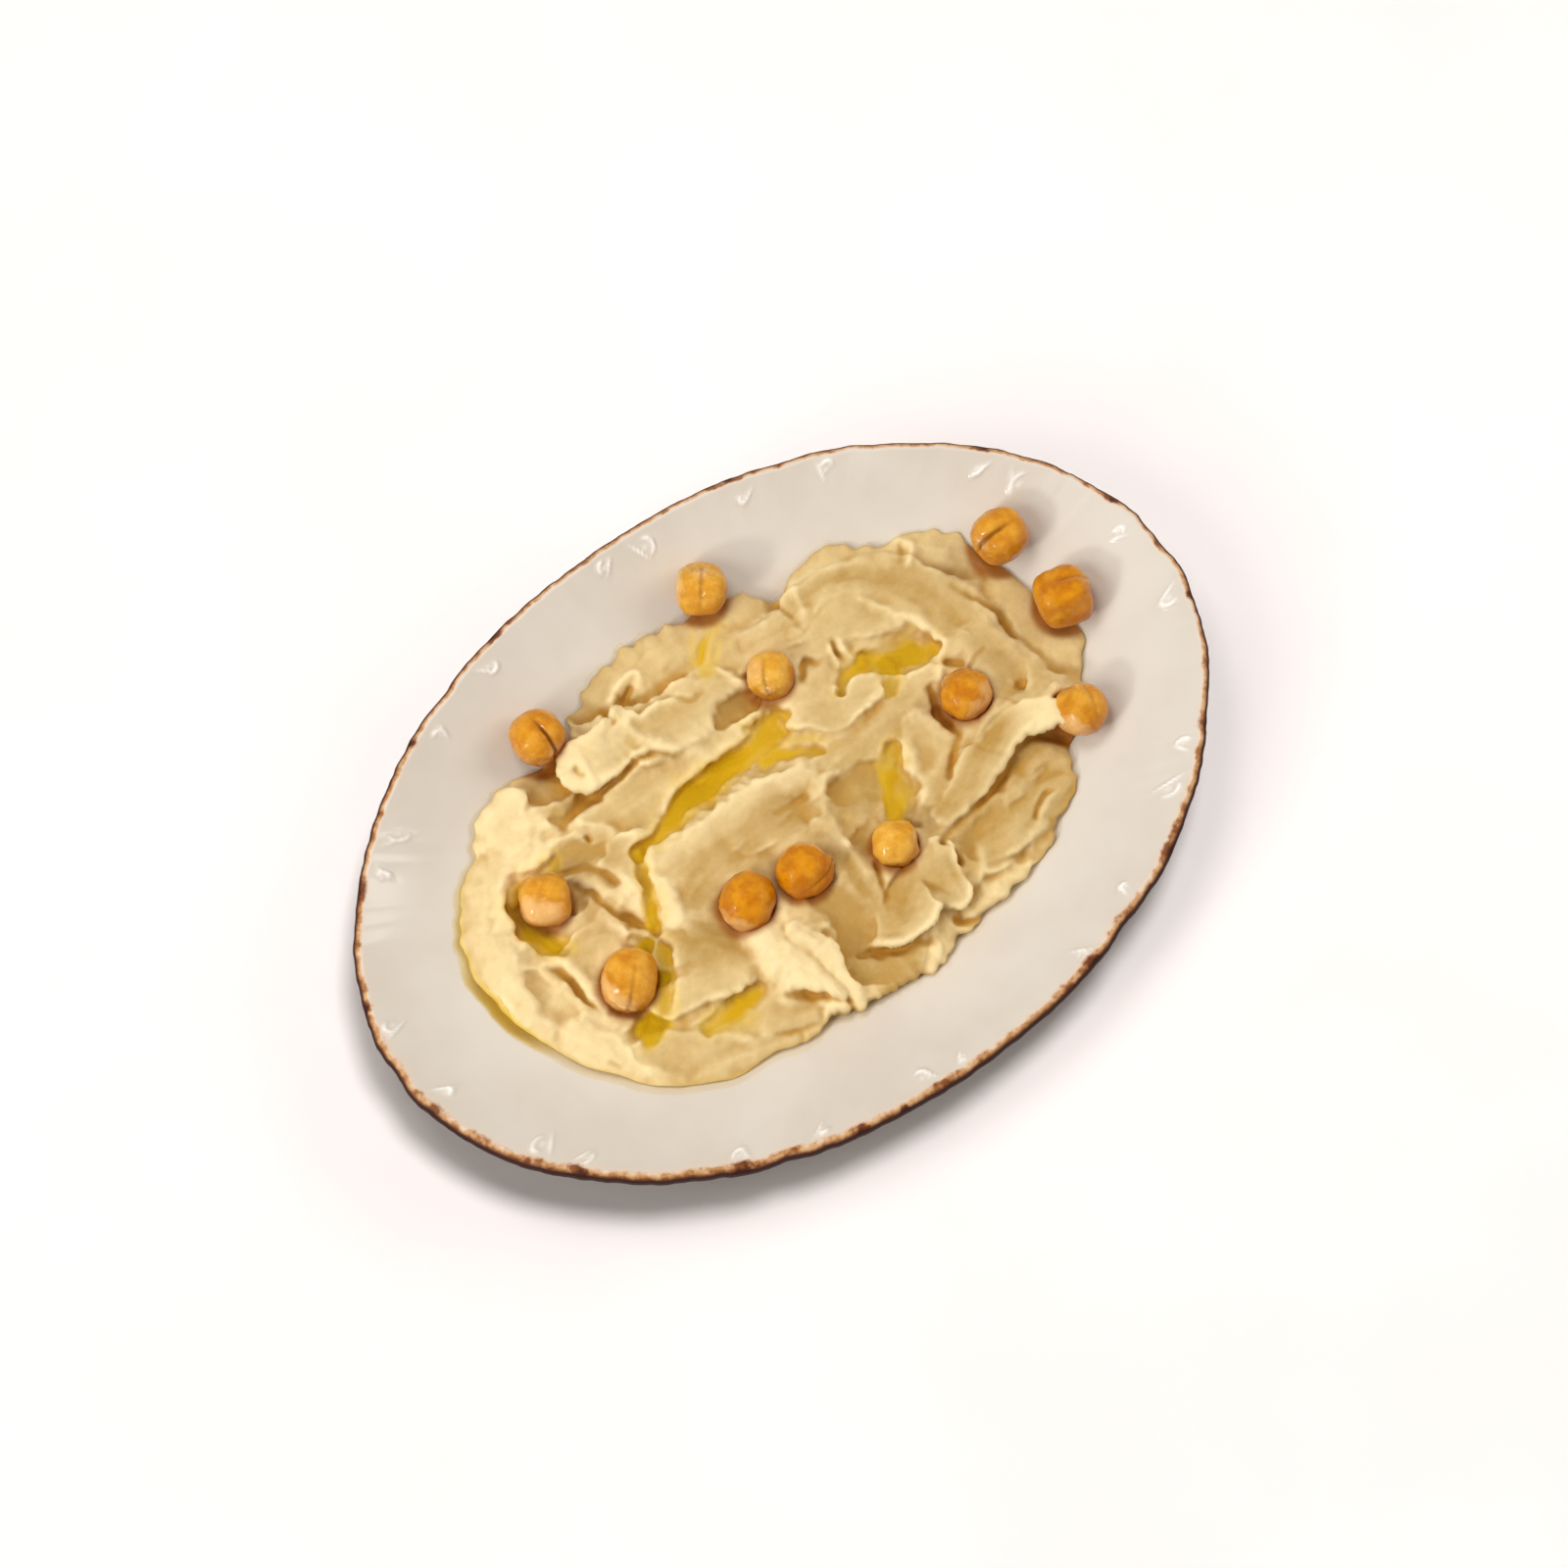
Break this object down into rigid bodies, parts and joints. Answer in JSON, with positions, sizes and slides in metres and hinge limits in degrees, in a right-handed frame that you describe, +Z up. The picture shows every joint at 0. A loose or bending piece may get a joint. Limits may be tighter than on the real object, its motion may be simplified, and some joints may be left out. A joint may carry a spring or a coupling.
{
  "type": "oval plate of hummus with chickpeas",
  "caption": "Rough-swiped hummus on an oval off-white glazed plate with a brown edge, topped with whole chickpeas and olive oil.",
  "frame": {"origin": "middle of the plate's foot, on the table", "axes": "+Z up; +X along the plate's long axis, towards the end where the hummus overhangs a chickpea"},
  "size_m": [0.21, 0.147, 0.0281],
  "materials": {
    "glaze": "glossy warm off-white glaze with an unglazed brown edge and small raised motifs",
    "hummus": "smooth moist paste, tan where the spoon pressed it and paler where it tore",
    "chickpea": "moist golden skin with a satin shine"
  },
  "bodies": {
    "root": {"plate": "glaze", "hummus": "hummus", "chickpea_01": "chickpea", "chickpea_02": "chickpea", "chickpea_03": "chickpea", "chickpea_04": "chickpea", "chickpea_05": "chickpea", "chickpea_06": "chickpea", "chickpea_07": "chickpea", "chickpea_08": "chickpea", "chickpea_09": "chickpea", "chickpea_10": "chickpea", "chickpea_11": "chickpea", "chickpea_12": "chickpea"}
  },
  "joints": []
}
